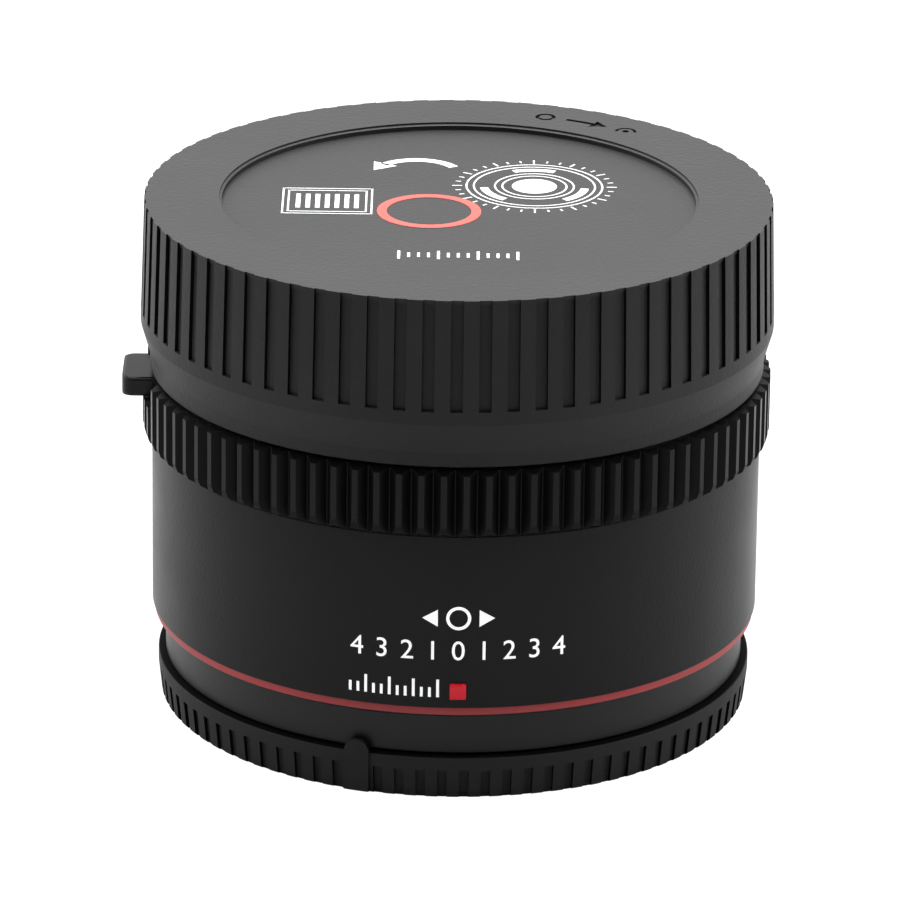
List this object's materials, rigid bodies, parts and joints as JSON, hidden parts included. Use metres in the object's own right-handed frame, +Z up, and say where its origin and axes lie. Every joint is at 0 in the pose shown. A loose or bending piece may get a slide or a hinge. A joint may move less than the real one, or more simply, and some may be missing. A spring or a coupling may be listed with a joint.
{
  "type": "camera teleconverter",
  "caption": "Round black camera teleconverter on its ribbed rear cap, with a deep ribbed front cap, knurled ring, red line, lens release lever, bayonet mounts and optics inside.",
  "frame": {"origin": "centre of the rear cap's bottom face, on the optical axis", "axes": "+Z up the optical axis from the camera side to the lens side, -Y towards the red index mark, -X towards the release lever"},
  "size_m": [0.0707, 0.0686, 0.0567],
  "materials": {
    "front_cap_plastic": "fine grained, moulded",
    "rear_cap_plastic": "smooth, moulded",
    "grip_metal": "black anodised, satin",
    "barrel_metal": "black, fine satin",
    "red_line": "muted red paint",
    "index_red": "glossy red",
    "seal_rubber": "matte",
    "mount_metal": "satin chrome, turned",
    "screw_metal": "bright",
    "small_screw_metal": "dark zinc",
    "spring_metal": "bright spring wire",
    "frame_metal": "dark anodised casting",
    "lever_metal": "black satin",
    "pin_metal": "polished",
    "inner_plastic": "matte, moulded",
    "cell_metal": "black anodised, fine turned",
    "lens_glass": "coated",
    "contact_gold": "gold plated",
    "board_laminate": "green solder mask",
    "chip_plastic": "moulded",
    "connector_plastic": "cream",
    "flex_film": "amber film"
  },
  "bodies": {
    "barrel": {"grip_ring": "grip_metal", "outer_barrel": "barrel_metal", "rear_barrel_section": "barrel_metal", "red_trim_ring": "red_line", "index_mark": "index_red", "weather_seal": "seal_rubber", "front_mount_ring": "mount_metal", "rear_mount_ring": "mount_metal", "front_mount_screws": "screw_metal", "rear_mount_screws": "screw_metal", "bayonet_spring": "spring_metal", "main_frame": "frame_metal", "lever_spring": "spring_metal", "lock_pin_spring": "spring_metal", "front_baffle": "inner_plastic", "front_contact_block": "inner_plastic", "contact_pin_springs": "spring_metal", "front_contact_screws": "small_screw_metal", "front_cell": "cell_metal", "front_retaining_ring": "cell_metal", "lens_tube": "cell_metal", "lens_tube_screws": "small_screw_metal", "rear_retaining_ring": "cell_metal", "rear_baffle": "inner_plastic", "rear_baffle_screws": "small_screw_metal", "rear_contact_block": "inner_plastic", "rear_contact_pads": "contact_gold", "main_board": "board_laminate", "board_chips": "chip_plastic", "board_screws": "small_screw_metal", "board_connectors": "connector_plastic", "front_flex": "flex_film", "rear_flex": "flex_film", "lens_1": "lens_glass", "lens_2": "lens_glass", "lens_3": "lens_glass", "lens_4": "lens_glass", "lens_5": "lens_glass", "lens_6": "lens_glass", "lens_7": "lens_glass", "lens_8": "lens_glass", "spacer_1": "cell_metal", "spacer_2": "cell_metal", "spacer_3": "cell_metal", "spacer_4": "cell_metal"},
    "front_cap": {"front_cap": "front_cap_plastic"},
    "rear_cap": {"rear_cap": "rear_cap_plastic"},
    "release_lever": {"release_lever": "lever_metal"},
    "lens_lock_pin": {"lens_lock_pin": "pin_metal"},
    "contact_pin_01": {"contact_pin_01": "contact_gold"},
    "contact_pin_02": {"contact_pin_02": "contact_gold"},
    "contact_pin_03": {"contact_pin_03": "contact_gold"},
    "contact_pin_04": {"contact_pin_04": "contact_gold"},
    "contact_pin_05": {"contact_pin_05": "contact_gold"},
    "contact_pin_06": {"contact_pin_06": "contact_gold"},
    "contact_pin_07": {"contact_pin_07": "contact_gold"},
    "contact_pin_08": {"contact_pin_08": "contact_gold"},
    "contact_pin_09": {"contact_pin_09": "contact_gold"},
    "contact_pin_10": {"contact_pin_10": "contact_gold"},
    "contact_pin_11": {"contact_pin_11": "contact_gold"}
  },
  "joints": [
    {"name": "cap_front_lift", "type": "slide", "parent": "barrel", "child": "front_cap", "axis": [0, 0, 1], "range_m": [0, 0.03]},
    {"name": "cap_rear_lift", "type": "slide", "parent": "barrel", "child": "rear_cap", "axis": [0, 0, -1], "range_m": [0, 0.02]},
    {"name": "lever_turn", "type": "hinge", "parent": "barrel", "child": "release_lever", "pos_m": [0, 0, 0.0358], "axis": [0, 0, 1], "range_deg": [0, 6], "stiffness_Nm_per_rad": 0.08, "springref_deg": -8.59, "deforming": ["lever_spring"]},
    {"name": "lock_pin_slide", "type": "slide", "parent": "barrel", "child": "lens_lock_pin", "axis": [0, 0, -1], "range_m": [0, 0.0015], "deforming": ["lock_pin_spring"]},
    {"name": "pin_press_01", "type": "slide", "parent": "barrel", "child": "contact_pin_01", "axis": [0, 0, -1], "range_m": [0, 0.0007], "stiffness_N_per_m": 100, "springref_m": -0.001, "deforming": ["contact_pin_springs"]},
    {"name": "pin_press_02", "type": "slide", "parent": "barrel", "child": "contact_pin_02", "axis": [0, 0, -1], "range_m": [0, 0.0007], "stiffness_N_per_m": 100, "springref_m": -0.001, "deforming": ["contact_pin_springs"]},
    {"name": "pin_press_03", "type": "slide", "parent": "barrel", "child": "contact_pin_03", "axis": [0, 0, -1], "range_m": [0, 0.0007], "stiffness_N_per_m": 100, "springref_m": -0.001, "deforming": ["contact_pin_springs"]},
    {"name": "pin_press_04", "type": "slide", "parent": "barrel", "child": "contact_pin_04", "axis": [0, 0, -1], "range_m": [0, 0.0007], "stiffness_N_per_m": 100, "springref_m": -0.001, "deforming": ["contact_pin_springs"]},
    {"name": "pin_press_05", "type": "slide", "parent": "barrel", "child": "contact_pin_05", "axis": [0, 0, -1], "range_m": [0, 0.0007], "stiffness_N_per_m": 100, "springref_m": -0.001, "deforming": ["contact_pin_springs"]},
    {"name": "pin_press_06", "type": "slide", "parent": "barrel", "child": "contact_pin_06", "axis": [0, 0, -1], "range_m": [0, 0.0007], "stiffness_N_per_m": 100, "springref_m": -0.001, "deforming": ["contact_pin_springs"]},
    {"name": "pin_press_07", "type": "slide", "parent": "barrel", "child": "contact_pin_07", "axis": [0, 0, -1], "range_m": [0, 0.0007], "stiffness_N_per_m": 100, "springref_m": -0.001, "deforming": ["contact_pin_springs"]},
    {"name": "pin_press_08", "type": "slide", "parent": "barrel", "child": "contact_pin_08", "axis": [0, 0, -1], "range_m": [0, 0.0007], "stiffness_N_per_m": 100, "springref_m": -0.001, "deforming": ["contact_pin_springs"]},
    {"name": "pin_press_09", "type": "slide", "parent": "barrel", "child": "contact_pin_09", "axis": [0, 0, -1], "range_m": [0, 0.0007], "stiffness_N_per_m": 100, "springref_m": -0.001, "deforming": ["contact_pin_springs"]},
    {"name": "pin_press_10", "type": "slide", "parent": "barrel", "child": "contact_pin_10", "axis": [0, 0, -1], "range_m": [0, 0.0007], "stiffness_N_per_m": 100, "springref_m": -0.001, "deforming": ["contact_pin_springs"]},
    {"name": "pin_press_11", "type": "slide", "parent": "barrel", "child": "contact_pin_11", "axis": [0, 0, -1], "range_m": [0, 0.0007], "stiffness_N_per_m": 100, "springref_m": -0.001, "deforming": ["contact_pin_springs"]}
  ],
  "couplings": [
    {"joint": "lock_pin_slide", "follows": "lever_turn", "m_per_rad": 0.01432}
  ]
}
